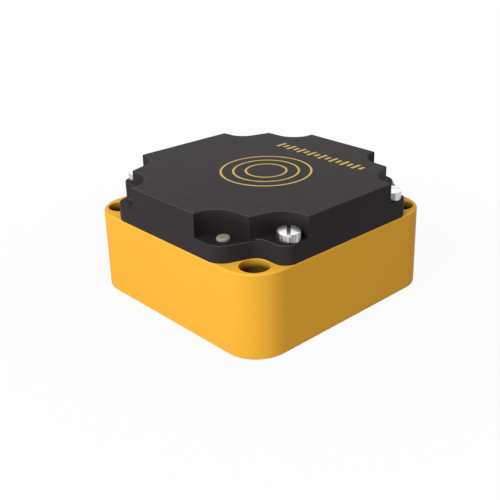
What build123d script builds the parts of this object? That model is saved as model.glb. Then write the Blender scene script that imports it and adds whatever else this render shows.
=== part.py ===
from build123d import *
import math
import os

# Block sensor with a screwed-on sensing head and a terminal chamber below it.
# The origin is the centre of the mounting face, +Z points out of the sensing face,
# and the plug connector leaves the body along +Y.

# Base moulding
body_side = 80.0
corner_radius = 11.5
base_height = 27.0
rim_radius = 0.5
foot_chamfer = 0.3
floor_thickness = 3.0
chamber_inset = 11.0
chamber_corner_radius = 14.0
outer_wall = 2.6
chamber_wall = 2.2
coring_depth = 19.0
coring_end_wall = 1.0
entry_coring_wall = 5.5
coring_corner_radius = 1.2

# Mounting holes for four bolts
hole_inset = 7.5
bolt_hole_radius = 2.75
bolt_head_hole_radius = 4.55
bolt_land = 8.0
hole_rim_chamfer = 0.15

# Seal between base and head
groove_land = 1.0
groove_width = 2.4
groove_depth = 1.6
gasket_side_gap = 0.15

# Sensing head outline, given for one corner and mirrored; insets count from the sides of the body
head_inset = 0.1
head_height = 13.0
top_edge_radius = 0.3
corner_edge_radius = 0.12
floor_edge_radius = 0.25
tooth_inset_x = 11.8
tooth_inset_y = 9.55
led_notch_inset_x = 16.8
led_notch_inset_y = 1.3
led_notch_radius = 8.0
screw_notch_inset_x = 3.2
screw_notch_inset_y = 14.4
screw_notch_radius = 6.8
screw_notch_end_inset = 21.6
led_lobe_radius = 5.6
lobe_link = 1.43
screw_lobe_radius = 3.9
hole_lobe_radius = 4.7
led_floor_height = 5.4
screw_floor_height = 6.1

# Hollow of the head
sensing_wall = 2.0
hollow_inset = 14.0
hollow_corner_radius = 5.0
seat_gap = 0.1

# Captive head screws, M4 with a pitch of 0.7
screw_inset_x = 3.85
screw_inset_y = 17.28
thread_radius = 2.0
thread_pitch = 0.7
screw_turns = 8
screw_head_radius = 3.55
screw_head_side = 3.1
screw_head_edge_radius = 0.9
screw_crown_height = 0.3
screw_crown_radius = 1.9
slot_width = 1.2
slot_depth = 1.4
screw_seat_gap = 0.05
screw_hole_radius = 2.25
running_gap = 0.05
ring_groove_radius = 1.6
ring_radius = 2.65
ring_thickness = 0.8
ring_mouth = 2.4
ring_end_gap = 0.1
recess_radius = 2.9
recess_below_joint = 3.6
thread_engagement = 5.4
screw_tip_chamfer = 0.4

# Threaded inserts of the head screws
insert_radius = 2.8
insert_length = 6.0
insert_groove = 0.35
insert_band = 1.2
insert_bottom_room = 0.6

# Light guides over the indicator diodes
window_inset_x = 18.4
window_inset_y = 5.5
window_radius = 2.05
window_rise = 0.8
window_edge_chamfer = 0.3
guide_arm_width = 2.4
guide_arm_height = 2.0
guide_arm_floor = 2.8
guide_end_gap = 0.25
guide_gap = 0.05

# Ferrite core, bobbin and winding
core_side_gap = 2.5
core_height = 7.0
core_web = 2.4
core_rim = 2.5
core_post_radius = 10.0
core_bore_radius = 3.0
bobbin_gap = 0.3
bobbin_wall = 0.9
winding_gap = 0.2

# Circuit board and what it carries
board_gap = 1.3
board_thickness = 1.6
chip_inset = 5.3
chip_side = 3.6
chip_height = 1.4
coil_pin_radius = 0.45
coil_pin_inset = 2.5
diode_width = 2.0
diode_depth = 1.6
diode_height = 1.3
diode_gap = 0.7
resin_thickness = 1.5

# Terminal block in the chamber
pole_count = 4
pole_pitch = 7.0
block_width = 31.0
block_depth = 17.0
block_height = 15.0
block_edge_radius = 1.2
block_y = -6.0
cage_width = 5.0
cage_depth = 7.0
cage_height = 7.4
cage_gap = 0.15
cage_floor = 1.6
cage_setback = 1.0
wire_hole_radius = 1.3
clamp_thread_radius = 1.5
clamp_head_radius = 2.1
clamp_head_height = 1.8
clamp_lift = 1.2
driver_hole_radius = 2.5
socket_side = 1.4
socket_depth = 8.0
socket_setback = 2.6
plug_pin_side = 1.0
plug_pin_entry = 6.0
marker_groove = 0.5

# Plug connector with an M12 thread, in an M16 entry
entry_height = 15.0
entry_radius = 8.0
entry_thread_gap = 0.05
shank_length = 8.5
seal_thickness = 1.0
seal_overhang = 0.2
hex_shoulder = 2.0
hex_length = 6.0
hex_corner_trim = 0.35
neck_radius = 7.4
neck_length = 5.5
plug_thread_radius = 6.0
plug_thread_length = 13.8
plug_thread_chamfer = 0.6
undercut_length = 1.4
undercut_depth = 0.7
plug_wall = 1.6
carrier_step = 0.2
socket_reach = 8.3
key_width = 1.0
key_depth = 0.45
contact_circle = 2.5
contact_radius = 0.5
contact_setback = 1.0
contact_tail_radius = 0.9
contact_tail_length = 3.0
contact_tail_reach = 1.5
carrier_tail = 1.0
lead_radius = 0.75
lead_straight = 6.0
lead_bend_radius = 4.0
lead_entry = 8.0

# Heights and places that follow
half_body = body_side / 2
half_head = half_body - head_inset
chamber_side = body_side - 2 * chamber_inset
hole_spacing = body_side - 2 * hole_inset
tooth_x = half_body - tooth_inset_x
tooth_y = half_body - tooth_inset_y
led_notch_x = half_body - led_notch_inset_x
led_notch_y = half_body - led_notch_inset_y
screw_notch_x = half_body - screw_notch_inset_x
screw_notch_y = half_body - screw_notch_inset_y
screw_notch_end_y = half_body - screw_notch_end_inset
screw_x = half_body - screw_inset_x
screw_y = half_body - screw_inset_y
window_x = half_body - window_inset_x
window_y = half_body - window_inset_y
hollow_side = body_side - 2 * hollow_inset
board_side = hollow_side - 2 * board_gap
board_corner_radius = hollow_corner_radius - board_gap
chip_place = board_side / 2 - chip_inset
core_radius = hollow_side / 2 - core_side_gap
coil_pin_place = core_post_radius + coil_pin_inset
socket_radius = plug_thread_radius - plug_wall
carrier_radius = socket_radius + carrier_step
hex_flats = 2 * (entry_radius + hex_shoulder)
seal_radius = hex_flats / 2 + seal_overhang
hex_chamfer_radius = hex_flats / math.sqrt(3) - hex_corner_trim
head_top = base_height + head_height
screw_floor = base_height + screw_floor_height
hollow_roof = head_top - sensing_wall
core_bottom = hollow_roof - seat_gap - core_height
board_top = core_bottom - seat_gap
board_bottom = board_top - board_thickness
resin_bottom = board_bottom - resin_thickness
guide_arm_end = board_side / 2 + guide_end_gap
arm_reach = window_y - guide_arm_end
hole_place = hole_spacing / 2
half_chamber = chamber_side / 2
groove_inner_side = chamber_side + 2 * groove_land
groove_outer_side = groove_inner_side + 2 * groove_width
groove_inner_radius = chamber_corner_radius + groove_land
groove_outer_radius = groove_inner_radius + groove_width
screw_travel = screw_turns * thread_pitch
recess_floor = base_height - recess_below_joint
ring_bottom = recess_floor + ring_end_gap
recess_roof = ring_bottom + ring_thickness + screw_travel + ring_end_gap
screw_tip = recess_floor - thread_engagement
insert_bottom = recess_floor - insert_length
block_top = floor_thickness + block_height
cage_bottom = floor_thickness + cage_floor
wire_height = cage_bottom + cage_height / 2
block_front = block_y + block_depth / 2
cage_front = block_front - cage_setback
cage_y = cage_front - cage_depth / 2
socket_y = block_y - block_depth / 2 + socket_setback
shank_end = half_body - shank_length
hex_start = half_body + seal_thickness
neck_start = hex_start + hex_length
plug_start = neck_start + neck_length
plug_end = plug_start + plug_thread_length
socket_floor = plug_end - socket_reach
carrier_end = shank_end - carrier_tail
tail_end = carrier_end - contact_tail_reach

quarters = [(1, -1), (1, 1), (-1, 1), (-1, -1)]
screw_places = [(side_x * screw_x, side_y * screw_y) for side_x, side_y in quarters]
window_places = [(side_x * window_x, side_y * window_y) for side_x, side_y in quarters]
pole_places = [(pole - (pole_count - 1) / 2) * pole_pitch for pole in range(pole_count)]

parts_folder = "parts"
os.makedirs(parts_folder, exist_ok=True)


def keep(piece, label):
    """Name a finished piece and write it."""
    piece.part.label = label
    export_step(piece.part, f"{parts_folder}/{label}.step")


def upright_plane(x, y):
    """Plane through (x, y) for a profile of radius and height."""
    return Plane(origin=(x, y, 0), x_dir=(1, 0, 0), z_dir=(0, -1, 0))


def along_plug(distance=0.0):
    """Plane across the connector's axis, at a distance along +Y."""
    return Plane(origin=(0, distance, entry_height), x_dir=(-1, 0, 0), z_dir=(0, 1, 0))


def mirrored_corner(x, y):
    """Test for the four copies of an outline's corner."""
    return lambda corner: math.hypot(abs(corner.X) - x, abs(corner.Y) - y) < running_gap


plug_profile_plane = Plane(origin=(0, 0, entry_height), x_dir=(0, 1, 0), z_dir=(1, 0, 0))
plug_axis = Axis((0, 0, entry_height), (0, 1, 0))

# Tangent between the lobe round the window and the arc round the mounting hole
led_lobe_y = half_head - led_lobe_radius
screw_lobe_x = half_head - screw_lobe_radius
screw_lobe_y = hole_place - hole_lobe_radius - screw_lobe_radius
lobe_to_hole = led_lobe_radius + hole_lobe_radius + lobe_link
lobe_to_hole_y = hole_place - led_lobe_y
lobe_to_hole_x = math.sqrt(lobe_to_hole**2 - lobe_to_hole_y**2)
led_lobe_x = hole_place - lobe_to_hole_x
tangent_turn = math.acos((led_lobe_radius + hole_lobe_radius) / lobe_to_hole)
tangent_angle = math.degrees(math.atan2(lobe_to_hole_y, lobe_to_hole_x) + tangent_turn)

# Where the notch walls leave their arcs
led_notch_rise = half_head - led_notch_y
led_notch_start_x = led_notch_x - math.sqrt(led_notch_radius**2 - led_notch_rise**2)
led_notch_start = math.degrees(math.atan2(led_notch_rise, led_notch_start_x - led_notch_x))
notch_wall_x = screw_notch_x - tooth_x
notch_wall_y = tooth_y - screw_notch_y
notch_wall_length = math.hypot(notch_wall_x, notch_wall_y)
notch_wall_turn = math.acos(screw_notch_radius / notch_wall_length)
notch_wall_start = math.degrees(math.atan2(notch_wall_y, -notch_wall_x) + notch_wall_turn)


def mirror_quarter():
    """Complete a quarter outline to all four corners."""
    mirror(about=Plane.YZ)
    mirror(about=Plane.XZ)


with BuildSketch() as flange_outline:
    with BuildLine():
        top_run = Line((0, half_head), (led_lobe_x, half_head))
        led_lobe = CenterArc((led_lobe_x, led_lobe_y), led_lobe_radius, 90, tangent_angle - 90)
        hole_arc = CenterArc(
            (hole_place, hole_place), hole_lobe_radius, 180 + tangent_angle, 90 - tangent_angle
        )
        Line(led_lobe @ 1, hole_arc @ 0)
        screw_lobe = CenterArc((screw_lobe_x, screw_lobe_y), screw_lobe_radius, 90, -90)
        Line(hole_arc @ 1, screw_lobe @ 0)
        Polyline(screw_lobe @ 1, (half_head, 0), (0, 0), top_run @ 0)
    make_face()
    mirror_quarter()

with BuildSketch() as top_outline:
    with BuildLine():
        led_notch = CenterArc(
            (led_notch_x, led_notch_y), led_notch_radius, led_notch_start, 270 - led_notch_start
        )
        screw_notch = CenterArc(
            (screw_notch_x, screw_notch_y), screw_notch_radius, notch_wall_start, 270 - notch_wall_start
        )
        Polyline(led_notch @ 1, (tooth_x, tooth_y), screw_notch @ 0)
        Polyline(screw_notch @ 1, (half_head, screw_notch_end_y), (half_head, 0), (0, 0))
        Polyline((0, 0), (0, half_head), led_notch @ 0)
    make_face()
    mirror_quarter()
    fillet(top_outline.vertices().filter_by(mirrored_corner(tooth_x, tooth_y)), corner_edge_radius)
    fillet(
        top_outline.vertices().filter_by(mirrored_corner(led_notch_start_x, half_head)),
        corner_edge_radius,
    )
    fillet(
        top_outline.vertices().filter_by(mirrored_corner(half_head, screw_notch_end_y)),
        corner_edge_radius,
    )

# Base housing with its chamber, bolt holes, screw bosses and connector entry
with BuildPart() as base_housing:
    with BuildSketch():
        RectangleRounded(body_side, body_side, corner_radius)
    extrude(amount=base_height)
    fillet(base_housing.faces().sort_by(Axis.Z)[-1].edges(), rim_radius)
    chamfer(base_housing.faces().sort_by(Axis.Z)[0].edges(), foot_chamfer)
    with BuildSketch(Plane.XY.offset(floor_thickness)):
        RectangleRounded(chamber_side, chamber_side, chamber_corner_radius)
    extrude(amount=base_height - floor_thickness, mode=Mode.SUBTRACT)
    with BuildSketch(Plane.XY.offset(base_height)):
        RectangleRounded(groove_outer_side, groove_outer_side, groove_outer_radius)
        RectangleRounded(groove_inner_side, groove_inner_side, groove_inner_radius, mode=Mode.SUBTRACT)
    extrude(amount=-groove_depth, mode=Mode.SUBTRACT)
    with Locations(Plane.XY.offset(base_height)):
        with GridLocations(hole_spacing, hole_spacing, 2, 2):
            CounterBoreHole(bolt_hole_radius, bolt_head_hole_radius, base_height - bolt_land)
        with GridLocations(2 * screw_x, 2 * screw_y, 2, 2):
            Hole(recess_radius, recess_below_joint)
            Hole(insert_radius, base_height - insert_bottom + insert_bottom_room)
    top_circles = base_housing.edges().group_by(Axis.Z)[-1].filter_by(GeomType.CIRCLE)
    bolt_rims = top_circles.filter_by(lambda rim: abs(rim.radius - bolt_head_hole_radius) < 0.01)
    chamfer(bolt_rims, hole_rim_chamfer)
    coring_width = half_body - outer_wall - half_chamber - chamber_wall
    coring_place = half_chamber + chamber_wall + coring_width / 2
    side_coring_length = 2 * (screw_y - insert_radius - coring_end_wall)
    front_coring_end = hole_place - bolt_head_hole_radius - coring_end_wall
    entry_coring_start = entry_radius + entry_coring_wall
    entry_coring_length = front_coring_end - entry_coring_start
    with BuildSketch():
        with GridLocations(2 * coring_place, 0, 2, 1):
            RectangleRounded(coring_width, side_coring_length, coring_corner_radius)
        with Locations((0, -coring_place)):
            RectangleRounded(2 * front_coring_end, coring_width, coring_corner_radius)
        with Locations((0, coring_place)):
            with GridLocations(entry_coring_start + front_coring_end, 0, 2, 1):
                RectangleRounded(entry_coring_length, coring_width, coring_corner_radius)
    extrude(amount=coring_depth, mode=Mode.SUBTRACT)
    with BuildSketch(along_plug(half_body)):
        Circle(entry_radius)
    extrude(amount=half_chamber - half_body, mode=Mode.SUBTRACT)
keep(base_housing, "base_housing")

with BuildPart() as head_gasket:
    gasket_outer_side = groove_outer_side - 2 * gasket_side_gap
    gasket_inner_side = groove_inner_side + 2 * gasket_side_gap
    gasket_inner_radius = groove_inner_radius + gasket_side_gap
    gasket_outer_radius = groove_outer_radius - gasket_side_gap
    with BuildSketch(Plane.XY.offset(base_height - groove_depth)):
        RectangleRounded(gasket_outer_side, gasket_outer_side, gasket_outer_radius)
        RectangleRounded(gasket_inner_side, gasket_inner_side, gasket_inner_radius, mode=Mode.SUBTRACT)
    extrude(amount=groove_depth)
keep(head_gasket, "head_gasket")

# Sensing head: flange with lobes, raised body with notches, hollow below
with BuildPart() as sensor_head:
    with BuildSketch(Plane.XY.offset(base_height)):
        add(flange_outline.sketch)
    extrude(amount=led_floor_height)
    fillet(sensor_head.faces().sort_by(Axis.Z)[-1].edges(), floor_edge_radius)
    with BuildSketch(Plane.XY.offset(base_height)):
        add(flange_outline.sketch)
        Rectangle(2 * half_head, 2 * tooth_y, mode=Mode.INTERSECT)
    extrude(amount=screw_floor_height)
    fillet(sensor_head.faces().sort_by(Axis.Z)[-1].edges(), floor_edge_radius)
    with BuildSketch(Plane.XY.offset(base_height)):
        add(top_outline.sketch)
    extrude(amount=head_height)
    fillet(sensor_head.faces().sort_by(Axis.Z)[-1].edges(), top_edge_radius)
    with BuildSketch(Plane.XY.offset(base_height)):
        RectangleRounded(hollow_side, hollow_side, hollow_corner_radius)
    extrude(amount=hollow_roof - base_height, mode=Mode.SUBTRACT)
    with Locations(Plane.XY.offset(screw_floor)):
        with GridLocations(2 * screw_x, 2 * screw_y, 2, 2):
            Hole(screw_hole_radius, screw_floor_height)
    with BuildSketch(Plane.XY.offset(base_height)):
        with GridLocations(2 * screw_x, 2 * screw_y, 2, 2):
            Circle(recess_radius)
    extrude(amount=recess_roof - base_height, mode=Mode.SUBTRACT)
    with BuildSketch(Plane.XY.offset(base_height + guide_arm_floor - guide_gap)):
        for window_side_x, window_side_y in quarters:
            with Locations((window_side_x * window_x, window_side_y * (guide_arm_end + arm_reach / 2))):
                Rectangle(guide_arm_width + 2 * guide_gap, arm_reach)
        with Locations(*window_places):
            Circle(window_radius + guide_gap)
    extrude(amount=guide_arm_height + 2 * guide_gap, mode=Mode.SUBTRACT)
    with BuildSketch(Plane.XY.offset(base_height + guide_arm_floor)):
        with Locations(*window_places):
            Circle(window_radius + guide_gap)
    extrude(amount=led_floor_height - guide_arm_floor, mode=Mode.SUBTRACT)
keep(sensor_head, "sensor_head")

# Light guides, each a window with an arm that reaches its diode
for number, (side_x, side_y) in enumerate(quarters, start=1):
    with BuildPart() as light_guide:
        with BuildSketch(Plane.XY.offset(base_height + guide_arm_floor)):
            with Locations((side_x * window_x, side_y * window_y)):
                Circle(window_radius)
        extrude(amount=led_floor_height - guide_arm_floor + window_rise)
        chamfer(light_guide.edges().sort_by(Axis.Z)[-1], window_edge_chamfer)
        with BuildSketch(Plane.XY.offset(base_height + guide_arm_floor)):
            with Locations((side_x * window_x, side_y * (guide_arm_end + arm_reach / 2))):
                Rectangle(guide_arm_width, arm_reach)
        extrude(amount=guide_arm_height)
    keep(light_guide, f"light_guide_{number}")

# Threaded inserts, captive rings and head screws at the four screw places
for number, (place_x, place_y) in enumerate(screw_places, start=1):
    screw_axis = Axis((place_x, place_y, 0), (0, 0, 1))
    upright = upright_plane(place_x, place_y)
    with BuildPart() as thread_insert:
        insert_bore = thread_radius + running_gap
        insert_skin = insert_radius - guide_gap
        with BuildSketch(upright):
            with Locations(((insert_bore + insert_skin) / 2, insert_bottom + insert_length / 2)):
                Rectangle(insert_skin - insert_bore, insert_length)
            with Locations((insert_skin, insert_bottom + insert_length / 2)):
                with GridLocations(0, 2 * insert_band, 1, 2):
                    Rectangle(2 * insert_groove, insert_band, mode=Mode.SUBTRACT)
        revolve(axis=screw_axis)
    keep(thread_insert, f"thread_insert_{number}")

    with BuildPart() as captive_ring:
        with BuildSketch(Plane.XY.offset(ring_bottom)):
            with Locations((place_x, place_y)):
                Circle(ring_radius)
                Circle(ring_groove_radius + running_gap, mode=Mode.SUBTRACT)
            with Locations((place_x - math.copysign(ring_radius, place_x), place_y)):
                Rectangle(2 * ring_radius, ring_mouth, mode=Mode.SUBTRACT)
        extrude(amount=ring_thickness)
    keep(captive_ring, f"captive_ring_{number}")

    with BuildPart() as head_screw:
        head_bottom = screw_floor + screw_seat_gap
        side_top = head_bottom + screw_head_side
        crown_top = side_top + screw_crown_height
        ring_room_bottom = ring_bottom - running_gap
        ring_room_top = ring_bottom + ring_thickness + running_gap
        with BuildSketch(upright):
            with BuildLine():
                Polyline(
                    (0, crown_top),
                    (screw_crown_radius, crown_top),
                    (screw_head_radius, side_top),
                    (screw_head_radius, head_bottom),
                    (thread_radius, head_bottom),
                    (thread_radius, ring_room_top),
                    (ring_groove_radius, ring_room_top),
                    (ring_groove_radius, ring_room_bottom),
                    (thread_radius, ring_room_bottom),
                    (thread_radius, screw_tip + screw_tip_chamfer),
                    (thread_radius - screw_tip_chamfer, screw_tip),
                    (0, screw_tip),
                    close=True,
                )
            make_face()
        revolve(axis=screw_axis)
        head_rims = head_screw.edges().filter_by(
            lambda rim: rim.geom_type == GeomType.CIRCLE and abs(rim.radius - screw_head_radius) < 0.01
        )
        fillet(head_rims.sort_by(Axis.Z)[-1], screw_head_edge_radius)
        slot_angle = math.degrees(math.atan2(place_y / screw_y, place_x / screw_x))
        with BuildSketch(Plane.XY.offset(crown_top)):
            with Locations(Location((place_x, place_y), slot_angle)):
                Rectangle(3 * screw_head_radius, slot_width)
        extrude(amount=-slot_depth, mode=Mode.SUBTRACT)
    keep(head_screw, f"head_screw_{number}")

# Ferrite core, open towards the sensing face
core_groove_outer = core_radius - core_rim
core_groove_floor = core_bottom + core_web
core_top = core_bottom + core_height
with BuildPart() as ferrite_core:
    with BuildSketch(Plane.XY.offset(core_bottom)):
        Circle(core_radius)
        Circle(core_bore_radius, mode=Mode.SUBTRACT)
    extrude(amount=core_height)
    with BuildSketch(Plane.XY.offset(core_groove_floor)):
        Circle(core_groove_outer)
        Circle(core_post_radius, mode=Mode.SUBTRACT)
    extrude(amount=core_height - core_web, mode=Mode.SUBTRACT)
keep(ferrite_core, "ferrite_core")

bobbin_inner = core_post_radius + bobbin_gap
bobbin_outer = core_groove_outer - bobbin_gap
bobbin_bottom = core_groove_floor + seat_gap
bobbin_top = core_top - seat_gap
with BuildPart() as coil_bobbin:
    with BuildSketch(Plane.XZ):
        with Locations(((bobbin_inner + bobbin_outer) / 2, (bobbin_bottom + bobbin_top) / 2)):
            Rectangle(bobbin_outer - bobbin_inner, bobbin_top - bobbin_bottom)
        with Locations(((bobbin_inner + bobbin_outer) / 2 + bobbin_wall, (bobbin_bottom + bobbin_top) / 2)):
            Rectangle(
                bobbin_outer - bobbin_inner,
                bobbin_top - bobbin_bottom - 2 * bobbin_wall,
                mode=Mode.SUBTRACT,
            )
    revolve(axis=Axis.Z)
keep(coil_bobbin, "coil_bobbin")

with BuildPart() as coil_winding:
    winding_inner = bobbin_inner + bobbin_wall + winding_gap
    winding_outer = bobbin_outer - winding_gap
    winding_height = bobbin_top - bobbin_bottom - 2 * bobbin_wall - 2 * winding_gap
    with BuildSketch(Plane.XZ):
        with Locations(((winding_inner + winding_outer) / 2, (bobbin_bottom + bobbin_top) / 2)):
            Rectangle(winding_outer - winding_inner, winding_height)
    revolve(axis=Axis.Z)
keep(coil_winding, "coil_winding")

# Circuit board with its chips in the corners that the round core leaves free
with BuildPart() as circuit_board:
    with BuildSketch(Plane.XY.offset(board_bottom)):
        RectangleRounded(board_side, board_side, board_corner_radius)
        with GridLocations(2 * coil_pin_place, 0, 2, 1):
            Circle(coil_pin_radius, mode=Mode.SUBTRACT)
    extrude(amount=board_thickness)
keep(circuit_board, "circuit_board")

with BuildPart() as board_chips:
    with BuildSketch(Plane.XY.offset(board_top)):
        with GridLocations(2 * chip_place, 2 * chip_place, 2, 2):
            Rectangle(chip_side, chip_side)
    extrude(amount=chip_height)
keep(board_chips, "board_chips")

for number, (side_x, side_y) in enumerate(quarters, start=1):
    with BuildPart() as indicator_diode:
        diode_y = guide_arm_end - diode_gap - diode_depth / 2
        with BuildSketch(Plane.XY.offset(board_top)):
            with Locations((side_x * window_x, side_y * diode_y)):
                Rectangle(diode_width, diode_depth)
        extrude(amount=diode_height)
    keep(indicator_diode, f"indicator_diode_{number}")

with BuildPart() as potting_resin:
    resin_side = hollow_side - 2 * seat_gap
    pin_hole_side = plug_pin_side + 2 * seat_gap
    with BuildSketch(Plane.XY.offset(resin_bottom)):
        RectangleRounded(resin_side, resin_side, hollow_corner_radius - seat_gap)
        with Locations((0, socket_y)):
            with GridLocations(pole_pitch, 0, pole_count, 1):
                Rectangle(pin_hole_side, pin_hole_side, mode=Mode.SUBTRACT)
    extrude(amount=resin_thickness)
keep(potting_resin, "potting_resin")

with BuildPart() as plug_pins:
    with BuildSketch(Plane.XY.offset(block_top - plug_pin_entry)):
        with Locations((0, socket_y)):
            with GridLocations(pole_pitch, 0, pole_count, 1):
                Rectangle(plug_pin_side, plug_pin_side)
    extrude(amount=board_bottom - block_top + plug_pin_entry)
keep(plug_pins, "plug_pins")

# Terminal block with open-fronted pockets for its clamping cages
pocket_width = cage_width + 2 * cage_gap
pocket_height = cage_height + 2 * cage_gap
pocket_depth = cage_setback + cage_depth + cage_gap
with BuildPart() as terminal_block:
    with BuildSketch(Plane.XY.offset(floor_thickness)):
        with Locations((0, block_y)):
            Rectangle(block_width, block_depth)
    extrude(amount=block_height)
    fillet(terminal_block.edges().filter_by(Axis.Z), block_edge_radius)
    with BuildSketch(Plane.XZ.offset(-block_front)):
        with Locations((0, wire_height)):
            with GridLocations(pole_pitch, 0, pole_count, 1):
                Rectangle(pocket_width, pocket_height)
    extrude(amount=pocket_depth, mode=Mode.SUBTRACT)
    with BuildSketch(Plane.XY.offset(block_top)):
        with Locations((0, cage_y)):
            with GridLocations(pole_pitch, 0, pole_count, 1):
                Circle(driver_hole_radius)
    extrude(amount=wire_height - block_top, mode=Mode.SUBTRACT)
    with BuildSketch(Plane.XY.offset(block_top)):
        with Locations((0, socket_y)):
            with GridLocations(pole_pitch, 0, pole_count, 1):
                Rectangle(socket_side, socket_side)
    extrude(amount=-socket_depth, mode=Mode.SUBTRACT)
    with BuildSketch(Plane.XY.offset(block_top)):
        with Locations((0, block_y)):
            with GridLocations(pole_pitch, 0, pole_count - 1, 1):
                Rectangle(marker_groove, block_depth)
    extrude(amount=-marker_groove, mode=Mode.SUBTRACT)
keep(terminal_block, "terminal_block")

cage_top = cage_bottom + cage_gap + cage_height
for number, pole_x in enumerate(pole_places, start=1):
    with BuildPart() as clamping_cage:
        with BuildSketch(Plane.XZ.offset(-cage_front)):
            with Locations((pole_x, wire_height + cage_gap)):
                Rectangle(cage_width, cage_height)
                Circle(wire_hole_radius, mode=Mode.SUBTRACT)
        extrude(amount=cage_depth)
        with BuildSketch(Plane.XY.offset(cage_top)):
            with Locations((pole_x, cage_y)):
                Circle(clamp_thread_radius + running_gap)
        extrude(amount=-cage_height / 2, mode=Mode.SUBTRACT)
    keep(clamping_cage, f"clamping_cage_{number}")

    with BuildPart() as clamp_screw:
        clamp_tip = wire_height + cage_gap + lead_radius + seat_gap
        clamp_head_bottom = cage_top + clamp_lift
        clamp_head_top = clamp_head_bottom + clamp_head_height
        clamp_axis = Axis((pole_x, cage_y, 0), (0, 0, 1))
        with BuildSketch(upright_plane(pole_x, cage_y)):
            with BuildLine():
                Polyline(
                    (0, clamp_tip),
                    (clamp_thread_radius, clamp_tip),
                    (clamp_thread_radius, clamp_head_bottom),
                    (clamp_head_radius, clamp_head_bottom),
                    (clamp_head_radius, clamp_head_top),
                    (0, clamp_head_top),
                    close=True,
                )
            make_face()
        revolve(axis=clamp_axis)
        with BuildSketch(Plane.XY.offset(clamp_head_top)):
            with Locations((pole_x, cage_y)):
                Rectangle(3 * clamp_head_radius, marker_groove)
        extrude(amount=-clamp_head_height / 2, mode=Mode.SUBTRACT)
    keep(clamp_screw, f"clamp_screw_{number}")

# Plug connector, screwed into the entry against a flat seal
with BuildPart() as connector_shell:
    shank_radius = entry_radius - entry_thread_gap
    undercut_end = plug_start + undercut_length
    with BuildSketch(plug_profile_plane):
        with BuildLine():
            Polyline(
                (shank_end, carrier_radius),
                (shank_end, shank_radius),
                (hex_start, shank_radius),
                (hex_start, neck_radius),
                (plug_start, neck_radius),
                (plug_start, plug_thread_radius - undercut_depth),
                (undercut_end, plug_thread_radius - undercut_depth),
                (undercut_end + undercut_depth, plug_thread_radius),
                (plug_end - plug_thread_chamfer, plug_thread_radius),
                (plug_end, plug_thread_radius - plug_thread_chamfer),
                (plug_end, socket_radius),
                (socket_floor, socket_radius),
                (socket_floor, carrier_radius),
                close=True,
            )
        make_face()
    revolve(axis=plug_axis)
    with BuildSketch(along_plug(hex_start)):
        RegularPolygon(hex_flats / 2, 6, major_radius=False)
        Circle(hex_chamfer_radius, mode=Mode.INTERSECT)
        Circle(carrier_radius, mode=Mode.SUBTRACT)
    extrude(amount=hex_length)
    with BuildSketch(along_plug(plug_end)):
        with Locations((0, socket_radius - key_depth / 2)):
            Rectangle(key_width, 2 * key_depth)
    extrude(amount=-socket_reach)
keep(connector_shell, "connector_shell")

with BuildPart() as connector_seal:
    with BuildSketch(along_plug(half_body)):
        Circle(seal_radius)
        Circle(entry_radius, mode=Mode.SUBTRACT)
    extrude(amount=seal_thickness)
keep(connector_seal, "connector_seal")

with BuildPart() as contact_carrier:
    with BuildSketch(along_plug(carrier_end)):
        Circle(carrier_radius - running_gap)
        with PolarLocations(contact_circle, pole_count, start_angle=45):
            Circle(contact_radius + running_gap, mode=Mode.SUBTRACT)
    extrude(amount=socket_floor - carrier_end)
keep(contact_carrier, "contact_carrier")

contact_offset = contact_circle / math.sqrt(2)
contact_rows = [(-1, 1), (-1, -1), (1, -1), (1, 1)]
for number, (side_x, side_z) in enumerate(contact_rows, start=1):
    contact_x = side_x * contact_offset
    contact_z = entry_height + side_z * contact_offset
    with BuildPart() as contact_pin:
        with BuildSketch(Plane.XZ.offset(contact_setback - plug_end)):
            with Locations((contact_x, contact_z)):
                Circle(contact_radius)
        extrude(amount=plug_end - contact_setback - tail_end)
        chamfer(contact_pin.edges().sort_by(Axis.Y)[-1], contact_radius / 2)
        with BuildSketch(Plane.XZ.offset(-tail_end)):
            with Locations((contact_x, contact_z)):
                Circle(contact_tail_radius)
        extrude(amount=contact_tail_length)
    keep(contact_pin, f"contact_pin_{number}")

    lead_start = tail_end - contact_tail_length
    lead_end_x = pole_places[number - 1]
    lead_end_z = wire_height + cage_gap
    with BuildPart() as lead_wire:
        with BuildLine():
            FilletPolyline(
                (contact_x, lead_start, contact_z),
                (contact_x, lead_start - lead_straight, contact_z),
                (lead_end_x, block_front + lead_straight, lead_end_z),
                (lead_end_x, block_front - lead_entry, lead_end_z),
                radius=lead_bend_radius,
            )
        with BuildSketch(Plane.XZ.offset(-lead_start)):
            with Locations((contact_x, contact_z)):
                Circle(lead_radius)
        sweep()
    keep(lead_wire, f"lead_wire_{number}")
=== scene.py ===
import math

import bmesh
import bpy
from bpy.props import FloatProperty, FloatVectorProperty, IntProperty, PointerProperty
from mathutils import Matrix, Vector


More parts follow.
